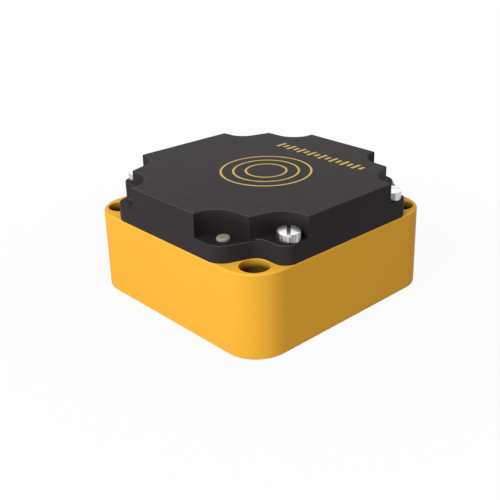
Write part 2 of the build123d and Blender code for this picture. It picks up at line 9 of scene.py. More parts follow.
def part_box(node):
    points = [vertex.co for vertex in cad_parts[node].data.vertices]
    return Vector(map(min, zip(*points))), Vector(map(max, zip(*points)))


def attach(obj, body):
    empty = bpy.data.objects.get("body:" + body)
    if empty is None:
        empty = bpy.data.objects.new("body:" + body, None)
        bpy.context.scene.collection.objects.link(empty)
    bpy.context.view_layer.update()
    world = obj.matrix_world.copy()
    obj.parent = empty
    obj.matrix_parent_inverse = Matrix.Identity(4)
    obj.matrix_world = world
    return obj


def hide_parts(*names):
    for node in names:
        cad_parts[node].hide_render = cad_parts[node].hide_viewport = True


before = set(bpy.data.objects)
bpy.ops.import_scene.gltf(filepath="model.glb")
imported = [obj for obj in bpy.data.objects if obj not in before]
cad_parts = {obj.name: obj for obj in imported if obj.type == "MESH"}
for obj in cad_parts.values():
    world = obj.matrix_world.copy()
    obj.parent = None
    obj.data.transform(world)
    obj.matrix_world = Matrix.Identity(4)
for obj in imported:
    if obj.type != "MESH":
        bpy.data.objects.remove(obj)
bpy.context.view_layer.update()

bl_info = {
    "name": "Block sensor dressing",
    "version": (1, 0, 0),
    "blender": (4, 5, 0),
    "location": "View3D > Sidebar > Sensor",
    "description": "Finishes, print, screws and connector for the block sensor's packed model",
    "category": "Object",
}

MM = 0.001
CORNERS = range(1, 5)
MERGE_DISTANCE = 0.0005 * MM

# Places on the CAD model that the finishes follow; the shade of a bolt recess reaches a
# little past its wall, and that of the pockets ends just within the head's outer sides
HOLE_PLACE = 32.5 * MM
HOLE_SHADE = 4.9 * MM
HEAD_INSIDE = 39.72 * MM
WINDOW_FLOOR = 32.4 * MM
SCREW_FLOOR = 33.1 * MM

# Round pieces and threads, whose depth is a share of the pitch
ROUND_SEGMENTS = 96
SHANK_SEGMENTS = 48
THREAD_ROWS = 12
THREAD_DEPTH = 0.55

# Settings that the tree of the print takes as they are
PRINT_SIZES = (
    "ring_radius", "ring_step", "line_width", "tick_pitch", "tick_width", "tick_height",
    "short_share",
)

# Finishes; a scale is about how often its pattern repeats in one metre
DRIFT_SCALE = 38.0
CLOUD_SCALE = 420.0
SPECK_SCALE = 260.0
# Upright streaks of the painted reflection on the screw heads' sides
REFLECTION_STREAK_SCALE = 900.0
TRACE_SCALE = 220.0
ACRYLIC_IOR = 1.49
GREY = (0.5, 0.5, 0.5, 1.0)
GROUND_WHITE = (0.983, 0.983, 0.983, 1.0)
FLOOR_COLOUR = (0.35, 0.35, 0.35, 1.0)
FLAT = (1, 1, 0)
SKIN_RESULTS = {"Color": {"colour": None}, "Float": {"roughness": None, "height": None}}
GEOMETRY_RESULT = {"Geometry": {"geometry": None}}

HEAD_LOW, HEAD_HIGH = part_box("sensor_head")
SHELL_LOW, SHELL_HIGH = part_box("connector_shell")
_, SEAL_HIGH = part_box("connector_seal")


class SensorColours(bpy.types.PropertyGroup):
    """Colours of the surfaces that show."""

    housing: FloatVectorProperty(
        name="Housing", description="Yellow of the base moulding", subtype="COLOR",
        size=3, min=0, max=1, default=(0.87, 0.44, 0.040),
    )
    head: FloatVectorProperty(
        name="Head", description="Black of the sensing head", subtype="COLOR",
        size=3, min=0, max=1, default=(0.031, 0.0262, 0.0274),
    )
    ink: FloatVectorProperty(
        name="Ink", description="Yellow ink on the sensing face", subtype="COLOR",
        size=3, min=0, max=1, default=(0.59, 0.405, 0.042),
    )
    screw: FloatVectorProperty(
        name="Screw", description="Bright steel of the head screws", subtype="COLOR",
        size=3, min=0, max=1, default=(0.97, 0.96, 0.945),
    )
    nickel: FloatVectorProperty(
        name="Nickel", description="Plating of the connector", subtype="COLOR",
        size=3, min=0, max=1, default=(0.43, 0.42, 0.40),
    )
    window: FloatVectorProperty(
        name="Window", description="Smoky clear plastic of the light guides", subtype="COLOR",
        size=3, min=0, max=1, default=(0.50, 0.48, 0.38),
    )
    smoked: FloatVectorProperty(
        name="Smoked window", description="Darker plastic of every second light guide",
        subtype="COLOR", size=3, min=0, max=1, default=(0.03, 0.03, 0.028),
    )
    pocket: FloatProperty(
        name="Pocket", description="Share of the head's colour left low in its pockets",
        subtype="FACTOR", min=0, max=1, default=0.57,
    )
    recess: FloatProperty(
        name="Recess", description="Share of the housing's colour left deep in a bolt recess",
        subtype="FACTOR", min=0, max=1, default=0.11,
    )


class SensorPrint(bpy.types.PropertyGroup):
    """Sizes of the rings and the scale printed on the sensing face."""

    ring_radius: FloatProperty(
        name="Inner ring", description="Radius of the smallest ring", subtype="DISTANCE",
        unit="LENGTH", default=6.6 * MM,
    )
    ring_step: FloatProperty(
        name="Ring step", description="Distance from one ring to the next",
        subtype="DISTANCE", unit="LENGTH", default=4.05 * MM,
    )
    ring_count: IntProperty(
        name="Rings", description="How many rings are printed", min=1, max=5, default=3,
    )
    line_width: FloatProperty(
        name="Line width", description="Width of a printed ring", subtype="DISTANCE",
        unit="LENGTH", default=0.75 * MM,
    )
    tick_count: IntProperty(
        name="Ticks", description="Bars in the printed scale", min=2, max=40, default=16,
    )
    tick_pitch: FloatProperty(
        name="Tick pitch", description="Distance between two bars", subtype="DISTANCE",
        unit="LENGTH", default=2.5 * MM,
    )
    tick_width: FloatProperty(
        name="Tick width", description="Width of a bar", subtype="DISTANCE",
        unit="LENGTH", default=1.1 * MM,
    )
    tick_height: FloatProperty(
        name="Tick height", description="Height of a long bar", subtype="DISTANCE",
        unit="LENGTH", default=4.4 * MM,
    )
    short_share: FloatProperty(
        name="Short bars", description="Height of a short bar as a share of a long one",
        subtype="FACTOR", min=0.1, max=1, default=0.6,
    )
    ink_thickness: FloatProperty(
        name="Ink thickness", description="How far the ink stands out", subtype="DISTANCE",
        unit="LENGTH", default=0.012 * MM,
    )


class SensorScrew(bpy.types.PropertyGroup):
    """Sizes of the captive head screws; heights come from the frame."""

    head_radius: FloatProperty(
        name="Head radius", description="Radius of the cheese head", subtype="DISTANCE",
        unit="LENGTH", default=3.55 * MM,
    )
    side_height: FloatProperty(
        name="Side", description="Height of the head's straight side", subtype="DISTANCE",
        unit="LENGTH", default=2.2 * MM,
    )
    edge_round: FloatProperty(
        name="Edge", description="Round between side and crown", subtype="DISTANCE",
        unit="LENGTH", default=0.9 * MM,
    )
    slot_width: FloatProperty(
        name="Slot width", description="Width of the screwdriver slot", subtype="DISTANCE",
        unit="LENGTH", default=1.2 * MM,
    )
    slot_depth: FloatProperty(
        name="Slot depth", description="Depth of the slot below the crown",
        subtype="DISTANCE", unit="LENGTH", default=1.4 * MM,
    )
    thread_radius: FloatProperty(
        name="Thread", description="Outer radius of the thread", subtype="DISTANCE",
        unit="LENGTH", default=2.0 * MM,
    )
    thread_pitch: FloatProperty(
        name="Pitch", description="Rise of the thread in one turn", subtype="DISTANCE",
        unit="LENGTH", default=0.7 * MM,
    )
    neck_radius: FloatProperty(
        name="Ring groove", description="Radius of the groove that holds the captive ring",
        subtype="DISTANCE", unit="LENGTH", default=1.6 * MM,
    )


class SensorPlug(bpy.types.PropertyGroup):
    """Sizes of the connector shell across its axis; its length comes from the frame."""

    hex_flats: FloatProperty(
        name="Across flats", description="Width of the hexagon", subtype="DISTANCE",
        unit="LENGTH", default=20.0 * MM,
    )
    hex_length: FloatProperty(
        name="Hexagon", description="Length of the hexagon", subtype="DISTANCE",
        unit="LENGTH", default=6.0 * MM,
    )
    neck_radius: FloatProperty(
        name="Neck radius", description="Radius behind the thread", subtype="DISTANCE",
        unit="LENGTH", default=7.4 * MM,
    )
    neck_length: FloatProperty(
        name="Neck", description="Length of the neck", subtype="DISTANCE",
        unit="LENGTH", default=5.5 * MM,
    )
    thread_radius: FloatProperty(
        name="Thread", description="Outer radius of the coupling thread",
        subtype="DISTANCE", unit="LENGTH", default=6.0 * MM,
    )
    thread_pitch: FloatProperty(
        name="Pitch", description="Rise of the coupling thread in one turn",
        subtype="DISTANCE", unit="LENGTH", default=1.0 * MM,
    )
    socket_radius: FloatProperty(
        name="Socket radius", description="Inside of the coupling sleeve",
        subtype="DISTANCE", unit="LENGTH", default=4.4 * MM,
    )
    socket_depth: FloatProperty(
        name="Socket depth", description="Depth of the sleeve down to the carrier",
        subtype="DISTANCE", unit="LENGTH", default=8.3 * MM,
    )
    carrier_radius: FloatProperty(
        name="Carrier radius", description="Bore that holds the contact carrier",
        subtype="DISTANCE", unit="LENGTH", default=4.6 * MM,
    )
    shank_radius: FloatProperty(
        name="Shank radius", description="Thread in the housing's entry",
        subtype="DISTANCE", unit="LENGTH", default=7.95 * MM,
    )


class SensorStudio(bpy.types.PropertyGroup):
    """Light and camera."""

    camera_place: FloatVectorProperty(
        name="Camera", description="Place of the camera", subtype="XYZ", unit="LENGTH",
        size=3, precision=4, default=(0.182885, -0.166294, 0.124259),
    )
    camera_azimuth: FloatProperty(
        name="Azimuth", description="Turn of the camera about the upright axis",
        subtype="ANGLE", unit="ROTATION", default=math.radians(44.136),
    )
    camera_tilt: FloatProperty(
        name="Tilt", description="How far the camera looks down", subtype="ANGLE",
        unit="ROTATION", default=math.radians(21.434),
    )
    lens: FloatProperty(
        name="Lens", description="Focal length in mm on a 36 mm sensor", default=57.35,
    )
    key_power: FloatProperty(
        name="Key light", description="Power of the soft key light", subtype="POWER",
        unit="POWER", default=5.1,
    )
    ambient: FloatProperty(
        name="Ambient", description="Light that reaches the object from all round",
        default=0.58,
    )


SETTINGS = {
    "sensor_colours": SensorColours,
    "sensor_print": SensorPrint,
    "sensor_screw": SensorScrew,
    "sensor_plug": SensorPlug,
    "sensor_studio": SensorStudio,
}


def add_node(tree, kind, inputs=None, **settings):
    """Add a node, set its fields, and link or set its named inputs."""
    node = tree.nodes.new(kind)
    for name, value in settings.items():
        setattr(node, name, value)
    for name, value in (inputs or {}).items():
        if isinstance(value, bpy.types.NodeSocket):
            tree.links.new(value, node.inputs[name])
        else:
            node.inputs[name].default_value = value
    return node


def calculate(tree, operation, first, second=0.0):
    """Math node of two inputs; gives its output socket."""
    return add_node(tree, "ShaderNodeMath", {0: first, 1: second}, operation=operation).outputs[0]


def product(tree, value, *factors):
    """A value times all factors; gives the output socket."""
    for factor in factors:
        value = calculate(tree, "MULTIPLY", value, factor)
    return value


def vector_math(tree, operation, first, second=(0, 0, 0)):
    """Vector math node of two inputs; gives its vector, or the value of a length."""
    outputs = add_node(
        tree, "ShaderNodeVectorMath", {0: first, 1: second}, operation=operation
    ).outputs
    return outputs["Value" if operation == "LENGTH" else "Vector"]


def combined(tree, x=0.0, y=0.0, z=0.0):
    """Vector of three values; gives its output socket."""
    return add_node(tree, "ShaderNodeCombineXYZ", {"X": x, "Y": y, "Z": z}).outputs[0]


def remap(tree, value, low=0.0, high=1.0, to_low=0.0, to_high=1.0, **settings):
    """Clamped Map Range node; gives its output socket."""
    return add_node(
        tree, "ShaderNodeMapRange",
        {"Value": value, "From Min": low, "From Max": high, "To Min": to_low, "To Max": to_high},
        **settings,
    ).outputs["Result"]


def noise(tree, place, scale, detail=2.0, roughness=0.5):
    """Noise between nought and one; gives its output socket."""
    return add_node(
        tree, "ShaderNodeTexNoise",
        {"Vector": place, "Scale": scale, "Detail": detail, "Roughness": roughness},
    ).outputs["Fac"]


def swing(tree, value, strength):
    """A noise value moved to lie about nought, times a strength."""
    return product(tree, calculate(tree, "SUBTRACT", value, 0.5), strength)


def scaled_colour(tree, colour, factor):
    """A colour times a factor; gives the output socket."""
    return add_node(
        tree, "ShaderNodeVectorMath", {0: colour, "Scale": factor}, operation="SCALE"
    ).outputs[0]


def mixed_colour(tree, share, first, second):
    """Two colours mixed by a share; gives the output socket."""
    return add_node(
        tree, "ShaderNodeMix", {0: share, 6: first, 7: second}, data_type="RGBA"
    ).outputs[2]


def object_place(tree):
    """Object coordinates; gives their socket."""
    return add_node(tree, "ShaderNodeTexCoord").outputs["Object"]


def object_parts(tree):
    """Object coordinates, split into X, Y and Z."""
    return add_node(tree, "ShaderNodeSeparateXYZ", {0: object_place(tree)}).outputs


def centred_radius(tree, centre, fold=False):
    """Distance from an upright axis; folded, the axis repeats in all four corners."""
    place = object_place(tree)
    if fold:
        place = vector_math(tree, "ABSOLUTE", place)
    apart = vector_math(tree, "SUBTRACT", place, (*centre, 0))
    return vector_math(tree, "LENGTH", vector_math(tree, "MULTIPLY", apart, FLAT))


def label_of(name):
    """Label of a socket, from its name in this script."""
    return name.replace("_", " ").capitalize()


def node_group(name, kind, inputs, outputs):
    """Node group with its sockets, listed by their kind; gives its tree and its inputs."""
    tree = bpy.data.node_groups.new(name, kind)
    for direction, kinds in (("INPUT", inputs), ("OUTPUT", outputs)):
        for socket_kind, values in kinds.items():
            for key, value in values.items():
                socket = tree.interface.new_socket(
                    label_of(key), in_out=direction, socket_type=f"NodeSocket{socket_kind}"
                )
                if value is not None:
                    socket.default_value = value
    return tree, add_node(tree, "NodeGroupInput").outputs


def build_moulded_skin():
    """Fine grain, slow change of tone and patchy gloss of a moulded plastic."""
    tree, given = node_group("moulded_skin", "ShaderNodeTree", {
        "Color": {"colour": GREY},
        "Float": {"grain_size": 0.3 * MM, "tone": 0.03, "gloss": 0.4, "spread": 0.06},
    }, SKIN_RESULTS)
    place = object_place(tree)
    grain_scale = calculate(tree, "DIVIDE", 1.0, given["Grain size"])
    grain = noise(tree, place, grain_scale, detail=3.0, roughness=0.6)
    drift = swing(tree, noise(tree, place, DRIFT_SCALE), 2.0)
    bright = calculate(tree, "ADD", 1.0, product(tree, drift, given["Tone"]))
    patch = swing(tree, grain, given["Spread"])
    add_node(tree, "NodeGroupOutput", {
        "Colour": scaled_colour(tree, given["Colour"], bright),
        "Roughness": calculate(tree, "ADD", given["Gloss"], patch),
        "Height": grain,
    })
    return tree


def build_turned_marks():
    """Fine tool marks that follow one distance, with streaks in the gloss."""
    tree, given = node_group("turned_marks", "ShaderNodeTree", {
        "Color": {"colour": GREY},
        "Float": {"distance": 0.0, "mark_pitch": 0.1 * MM, "gloss": 0.3, "spread": 0.2},
    }, SKIN_RESULTS)
    along = calculate(tree, "DIVIDE", given["Distance"], given["Mark pitch"])
    marks = add_node(
        tree, "ShaderNodeTexNoise", {"W": along, "Scale": 1.0, "Detail": 2.0},
        noise_dimensions="1D",
    ).outputs["Fac"]
    cloud = noise(tree, object_place(tree), CLOUD_SCALE, detail=3.0)
    mixed = product(tree, calculate(tree, "ADD", marks, cloud), 0.5)
    off = swing(tree, mixed, given["Spread"])
    bright = calculate(tree, "SUBTRACT", 1.0, off)
    add_node(tree, "NodeGroupOutput", {
        "Colour": scaled_colour(tree, given["Colour"], bright),
        "Roughness": calculate(tree, "ADD", given["Gloss"], off),
        "Height": marks,
    })
    return tree


def build_settled_dust():
    """Thin dust on faces that look up, patchy, with a duller gloss."""
    tree, given = node_group("settled_dust", "ShaderNodeTree", {
        "Color": {"colour": GREY, "dust": (0.5, 0.48, 0.44, 1)},
        "Float": {"roughness": 0.4, "amount": 0.03},
    }, {"Color": {"colour": None}, "Float": {"roughness": None}})
    normal = add_node(tree, "ShaderNodeTexCoord").outputs["Normal"]
    up = add_node(tree, "ShaderNodeSeparateXYZ", {0: normal}).outputs["Z"]
    facing = remap(tree, up, low=0.3)
    specks = noise(tree, object_place(tree), SPECK_SCALE, detail=6.0, roughness=0.7)
    patch = remap(tree, specks, low=0.42, high=0.75)
    cover = product(tree, facing, patch, given["Amount"])
    add_node(tree, "NodeGroupOutput", {
        "Colour": mixed_colour(tree, cover, given["Colour"], given["Dust"]),
        "Roughness": calculate(tree, "ADD", given["Roughness"], cover),
    })
    return tree


def build_recess_shade():
    """Darkens a colour within a distance, more with depth and down to a limit."""
    tree, given = node_group("recess_shade", "ShaderNodeTree", {
        "Color": {"colour": GREY},
        "Float": {
            "distance": 0.0, "radius": 4 * MM, "depth": 0.0, "reach": 3 * MM, "limit": 1.0,
            "darkest": 0.25,
        },
    }, {"Color": {"colour": None}})
    near = calculate(tree, "LESS_THAN", given["Distance"], given["Radius"])
    above = calculate(tree, "LESS_THAN", given["Depth"], given["Limit"])
    share = remap(tree, given["Depth"], high=given["Reach"])
    lost = calculate(tree, "SUBTRACT", 1.0, given["Darkest"])
    kept = calculate(tree, "SUBTRACT", 1.0, product(tree, near, above, share, lost))
    add_node(tree, "NodeGroupOutput", {"Colour": scaled_colour(tree, given["Colour"], kept)})
    return tree


def place_group(tree, builder, **inputs):
    """Put a shared group, built only once, into a material with its own values."""
    name = builder.__name__.removeprefix("build_")
    group = bpy.data.node_groups.get(name) or builder()
    values = {label_of(key): value for key, value in inputs.items()}
    return add_node(tree, "ShaderNodeGroup", values, node_tree=group)


def opaque(colour):
    """Colour with full alpha."""
    return (*colour, 1.0)


def new_material(name):
    """Material with only its Principled shader; gives the material, tree and shader."""
    material = bpy.data.materials.new(name)
    material.use_nodes = True
    return material, material.node_tree, material.node_tree.nodes["Principled BSDF"]


def finish_surface(tree, shader, skin, relief):
    """Feed the shader from a skin group, with a bump of the given depth; gives the bump."""
    bump = add_node(
        tree, "ShaderNodeBump", {"Height": skin.outputs["Height"], "Distance": relief}
    )
    tree.links.new(skin.outputs["Colour"], shader.inputs["Base Color"])
    tree.links.new(skin.outputs["Roughness"], shader.inputs["Roughness"])
    tree.links.new(bump.outputs[0], shader.inputs["Normal"])
    return bump


def moulded(
    name, colour, gloss=0.4, tone=0.03, grain=0.3 * MM, relief=0.01 * MM, dust=0.0, shine=0.5
):
    """Moulded plastic, with a little dust where asked; shine is the shader's specular level."""
    material, tree, shader = new_material(name)
    shader.inputs["Specular IOR Level"].default_value = shine
    skin = place_group(
        tree, build_moulded_skin, colour=opaque(colour), gloss=gloss, tone=tone, grain_size=grain
    )
    finish_surface(tree, shader, skin, relief)
    if dust:
        layer = place_group(
            tree, build_settled_dust, colour=skin.outputs["Colour"],
            roughness=skin.outputs["Roughness"], amount=dust,
        )
        tree.links.new(layer.outputs["Colour"], shader.inputs["Base Color"])
        tree.links.new(layer.outputs["Roughness"], shader.inputs["Roughness"])
    return material


def skin_colour(material):
    """The input that takes a material's colour, and the socket that feeds it."""
    socket = material.node_tree.nodes["Principled BSDF"].inputs["Base Color"]
    return socket, socket.links[0].from_socket


def scale_skin(material, factor):
    """Multiply what feeds a material's colour by a factor's socket."""
    tree = material.node_tree
    skin, feed = skin_colour(material)
    tree.links.new(scaled_colour(tree, feed, factor), skin)


def corner_measures(tree):
    """Distance square to the sides from the middle axis, and height of the pocket floor."""
    parts = object_parts(tree)
    across = calculate(tree, "ABSOLUTE", parts["X"])
    along = calculate(tree, "ABSOLUTE", parts["Y"])
    screw_side = calculate(tree, "GREATER_THAN", across, along)
    floor = remap(tree, screw_side, to_low=WINDOW_FLOOR, to_high=SCREW_FLOOR)
    return calculate(tree, "MAXIMUM", across, along), floor


def worn_edge(material, top, within=None, start=0.01 * MM, end=0.22 * MM, gain=1.9):
    """Lighten the rounded edge just below a flat top: a painted highlight where the light catches
    the edge.
    """
    tree = material.node_tree
    depth = calculate(tree, "SUBTRACT", top, object_parts(tree)["Z"])
    below = calculate(tree, "GREATER_THAN", depth, start)
    above = calculate(tree, "LESS_THAN", depth, end)
    band = product(tree, below, above)
    if within:
        band = product(tree, band, within)
    scale_skin(material, remap(tree, band, to_low=1.0, to_high=gain))


def streak_side(material, centre, start, darkest, brightest):
    """Darken a turned head beyond a radius, with upright streaks: a painted reflection of dark
    and bright surroundings.
    """
    tree = material.node_tree
    flat = vector_math(tree, "MULTIPLY", object_place(tree), FLAT)
    streak = remap(
        tree, noise(tree, flat, REFLECTION_STREAK_SCALE), low=0.37, high=0.63, to_low=darkest,
        to_high=brightest,
    )
    beyond = calculate(tree, "GREATER_THAN", centred_radius(tree, centre, fold=True), start)
    loss = product(tree, beyond, calculate(tree, "SUBTRACT", 1.0, streak))
    scale_skin(material, calculate(tree, "SUBTRACT", 1.0, loss))


def shade_recesses(material, distance, radius, top, reach, darkest, limit=1.0):
    """Let the colour of a material fall off within a distance, from a top down to a limit."""
    tree = material.node_tree
    skin, feed = skin_colour(material)
    depth = calculate(tree, "SUBTRACT", top, object_parts(tree)["Z"])
    shade = place_group(
        tree, build_recess_shade, colour=feed, distance=distance, radius=radius, depth=depth,
        reach=reach, darkest=darkest, limit=limit,
    )
    tree.links.new(shade.outputs["Colour"], skin)


def turned(name, colour, gloss=0.3, spread=0.2, pitch=0.12 * MM, relief=0.004 * MM, centre=None):
    """Turned or drawn metal; marks run round an upright axis, or else along Y."""
    material, tree, shader = new_material(name)
    if centre:
        distance = centred_radius(tree, centre, fold=True)
    else:
        distance = object_parts(tree)["Y"]
    skin = place_group(
        tree, build_turned_marks, colour=opaque(colour), gloss=gloss, spread=spread,
        distance=distance, mark_pitch=pitch,
    )
    finish_surface(tree, shader, skin, relief)
    shader.inputs["Metallic"].default_value = 1.0
    return material


def clear_window(name, colour, gloss=0.12, clear=0.45, shine=0.5):
    """Smoky clear plastic of a light guide, cloudy inside."""
    material, tree, shader = new_material(name)
    skin = place_group(
        tree, build_moulded_skin, colour=opaque(colour), gloss=gloss, tone=0.10, spread=0.05,
        grain_size=0.8 * MM,
    )
    finish_surface(tree, shader, skin, 0.002 * MM)
    shader.inputs["Transmission Weight"].default_value = clear
    shader.inputs["Specular IOR Level"].default_value = shine
    shader.inputs["IOR"].default_value = ACRYLIC_IOR
    return material


def wound(name, colour, pitch):
    """Enamelled wire wound round the middle, turn beside turn."""
    material, tree, shader = new_material(name)
    radius = centred_radius(tree, (0, 0))
    turn = calculate(tree, "FRACT", calculate(tree, "DIVIDE", radius, pitch))
    swell = calculate(tree, "SINE", product(tree, turn, math.pi))
    skin = place_group(tree, build_moulded_skin, colour=opaque(colour), gloss=0.3, tone=0.12)
    bump = finish_surface(tree, shader, skin, pitch / 2)
    tree.links.new(swell, bump.inputs["Height"])
    shader.inputs["Metallic"].default_value = 0.85
    return material


def traced_board(name, colour, trace):
    """Green solder resist with faint copper traces under it."""
    material, tree, shader = new_material(name)
    cells = add_node(
        tree, "ShaderNodeTexVoronoi", {"Vector": object_place(tree), "Scale": TRACE_SCALE},
        distance="MANHATTAN", feature="F1",
    ).outputs["Distance"]
    lines = remap(tree, cells, low=0.52, high=0.58)
    resist = mixed_colour(tree, lines, opaque(colour), opaque(trace))
    skin = place_group(tree, build_moulded_skin, colour=resist, gloss=0.25, tone=0.05)
    finish_surface(tree, shader, skin, 0.01 * MM)
    return material


def dress(node_name, material):
    """Give a carried CAD node its finish."""
    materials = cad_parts[node_name].data.materials
    if not materials:
        materials.append(material)
    for index in range(len(materials)):
        materials[index] = material


def dress_corners(stem, material):
    """Give the four like nodes of the corners or poles one finish."""
    for number in CORNERS:
        dress(f"{stem}_{number}", material)


def put_in_scene(name, data):
    """New object that holds the data, linked to the scene."""
    holder = bpy.data.objects.new(name, data)
    bpy.context.scene.collection.objects.link(holder)
    return holder


def piece_from(builder, name, material, smooth_angle=math.radians(30)):
    """Make a piece from a bmesh, merged, facing outwards and shaded smooth by angle."""
    bmesh.ops.remove_doubles(builder, verts=builder.verts, dist=MERGE_DISTANCE)
    bmesh.ops.recalc_face_normals(builder, faces=builder.faces)
    for face in builder.faces:
        face.smooth = True
    for edge in builder.edges:
        edge.smooth = len(edge.link_faces) == 2 and edge.calc_face_angle(0) < smooth_angle
    mesh = bpy.data.meshes.new(name)
    builder.to_mesh(mesh)
    builder.free()
    mesh.materials.append(material)
    return put_in_scene(name, mesh)


def add_box(builder, size, centre):
    """Add a box of a size about a centre."""
    corners = bmesh.ops.create_cube(builder, size=1)["verts"]
    place = Matrix.Translation(centre) @ Matrix.Diagonal((*size, 1))
    bmesh.ops.transform(builder, matrix=place, verts=corners)


def lathe(builder, rows, segments, place, closed=False):
    """Turn rows of (radius, height) about an axis; a radius may be a function of the angle.

    place(radius, angle, height) gives the point. Rows that end on the axis close there, and a
    closed lathe joins its last row to its first.
    """
    rings = []
    for radius, height in rows:
        if radius == 0:
            rings.append([builder.verts.new(place(0, 0, height))])
            continue
        ring = []
        for step in range(segments):
            angle = math.tau * step / segments
            reach = radius(angle) if callable(radius) else radius
            ring.append(builder.verts.new(place(reach, angle, height)))
        rings.append(ring)
    pairs = list(zip(rings, rings[1:]))
    if closed:
        pairs.append((rings[-1], rings[0]))
    for lower, upper in pairs:
        for step in range(segments):
            following = (step + 1) % segments
            corners = [lower[step % len(lower)], lower[following % len(lower)]]
            corners += [upper[following % len(upper)], upper[step % len(upper)]]
            face = list(dict.fromkeys(corners))
            if len(face) > 2:
                builder.faces.new(face)


def threaded_rows(low, high, outer, pitch, depth, rows_in_turn):
    """Rows of a right-handed thread that runs out over one pitch at both ends."""
    count = round((high - low) / pitch * rows_in_turn)
    flank_slope = 2.4
    root_share = 0.7

    def row(level):
        fade = max(0.0, min(1.0, (level - low) / pitch, (high - level) / pitch))

        def radius(angle):
            phase = (level / pitch - angle / math.tau) % 1.0
            crest = min(1.0, max(0.0, flank_slope * abs(2 * phase - 1) - root_share))
            return outer - depth * (1 - crest) * fade

        return radius

    levels = [low + (high - low) * index / count for index in range(count + 1)]
    return [(row(level), level) for level in levels]


def arc_rows(centre_radius, centre_height, reach, start, end, steps):
    """Rows along an arc, its angles counted from outwards towards up."""
    angles = [start + (end - start) * index / steps for index in range(steps + 1)]
    return [
        (centre_radius + reach * math.cos(angle), centre_height + reach * math.sin(angle))
        for angle in angles
    ]


class SENSOR_OT_housing(bpy.types.Operator):
    """Finish the yellow base moulding, its seal and the threaded inserts"""

    bl_idname = "sensor.housing"
    bl_label = "Housing"

    def execute(self, context):
        colours = context.scene.sensor_colours
        yellow = moulded(
            "yellow_moulding", colours.housing, gloss=0.50, tone=0.02, grain=0.22 * MM,
            relief=0.006 * MM, dust=0.02, shine=0.06,
        )
        to_hole = centred_radius(yellow.node_tree, (HOLE_PLACE, HOLE_PLACE), fold=True)
        shade_recesses(
            yellow, to_hole, HOLE_SHADE, HEAD_LOW.z, reach=2.5 * MM, darkest=colours.recess,
        )
        dress("base_housing", yellow)
        rubber = moulded("seal_rubber", (0.012, 0.012, 0.013), gloss=0.7, grain=0.15 * MM)
        dress("head_gasket", rubber)
        dress("connector_seal", rubber)
        brass = turned("insert_brass", (0.62, 0.42, 0.13), gloss=0.32, centre=screw_centre(1))
        dress_corners("thread_insert", brass)
        return {"FINISHED"}


class SENSOR_OT_head(bpy.types.Operator):
    """Finish the black sensing head"""

    bl_idname = "sensor.head"
    bl_label = "Sensing head"

    def execute(self, context):
        colours = context.scene.sensor_colours
        black = moulded(
            "black_moulding", colours.head, gloss=0.48, tone=0.05, grain=0.20 * MM,
            relief=0.006 * MM, dust=0.015, shine=0.04,
        )
        tree = black.node_tree
        to_side, floor = corner_measures(tree)
        shade_start = HEAD_HIGH.z - 0.3 * MM
        floor_slack = 0.02 * MM
        shade_recesses(
            black, to_side, HEAD_INSIDE, shade_start, reach=3.0 * MM, darkest=colours.pocket,
            limit=calculate(tree, "SUBTRACT", shade_start + floor_slack, floor),
        )
        in_pocket = calculate(tree, "LESS_THAN", to_side, HEAD_INSIDE)
        # Painted highlights along the outer edges of the pocket floors and along the edges of the
        # top
        worn_edge(black, floor, within=in_pocket)
        worn_edge(black, HEAD_HIGH.z)
        dress("sensor_head", black)
        return {"FINISHED"}


class SENSOR_OT_windows(bpy.types.Operator):
    """Finish the light guides and the diodes below them"""

    bl_idname = "sensor.windows"
    bl_label = "Light guides"

    def execute(self, context):
        colours = context.scene.sensor_colours
        pale = clear_window("clear_guide", colours.window)
        smoked = clear_window("smoked_guide", colours.smoked, gloss=0.5, clear=0.1, shine=0.1)
        for number in CORNERS:
            dress(f"light_guide_{number}", pale if number % 2 else smoked)
        dress_corners("indicator_diode", clear_window("diode_lens", (0.70, 0.72, 0.52)))
        return {"FINISHED"}


def applied_piece(name, tree, **values):
    """Evaluate a Geometry Nodes tree once and keep its result as a plain mesh piece."""
    piece = put_in_scene(name, bpy.data.meshes.new(f"{name}_start"))
    modifier = piece.modifiers.new("shape", "NODES")
    modifier.node_group = tree
    identifiers = {
        item.name: item.identifier for item in tree.interface.items_tree
        if item.item_type == "SOCKET" and item.in_out == "INPUT"
    }
    for key, value in values.items():
        modifier[identifiers[label_of(key)]] = value
    evaluated = piece.evaluated_get(bpy.context.evaluated_depsgraph_get())
    result = bpy.data.meshes.new_from_object(evaluated)
    result.name = name
    piece.modifiers.remove(modifier)
    piece.data = result
    return piece


def close_tree(tree, geometry, material):
    """End a tree in Realize Instances and Set Material."""
    solid = add_node(tree, "GeometryNodeRealizeInstances", {"Geometry": geometry}).outputs[0]
    painted = add_node(
        tree, "GeometryNodeSetMaterial", {"Geometry": solid, "Material": material}
    ).outputs[0]
    add_node(tree, "NodeGroupOutput", {"Geometry": painted})


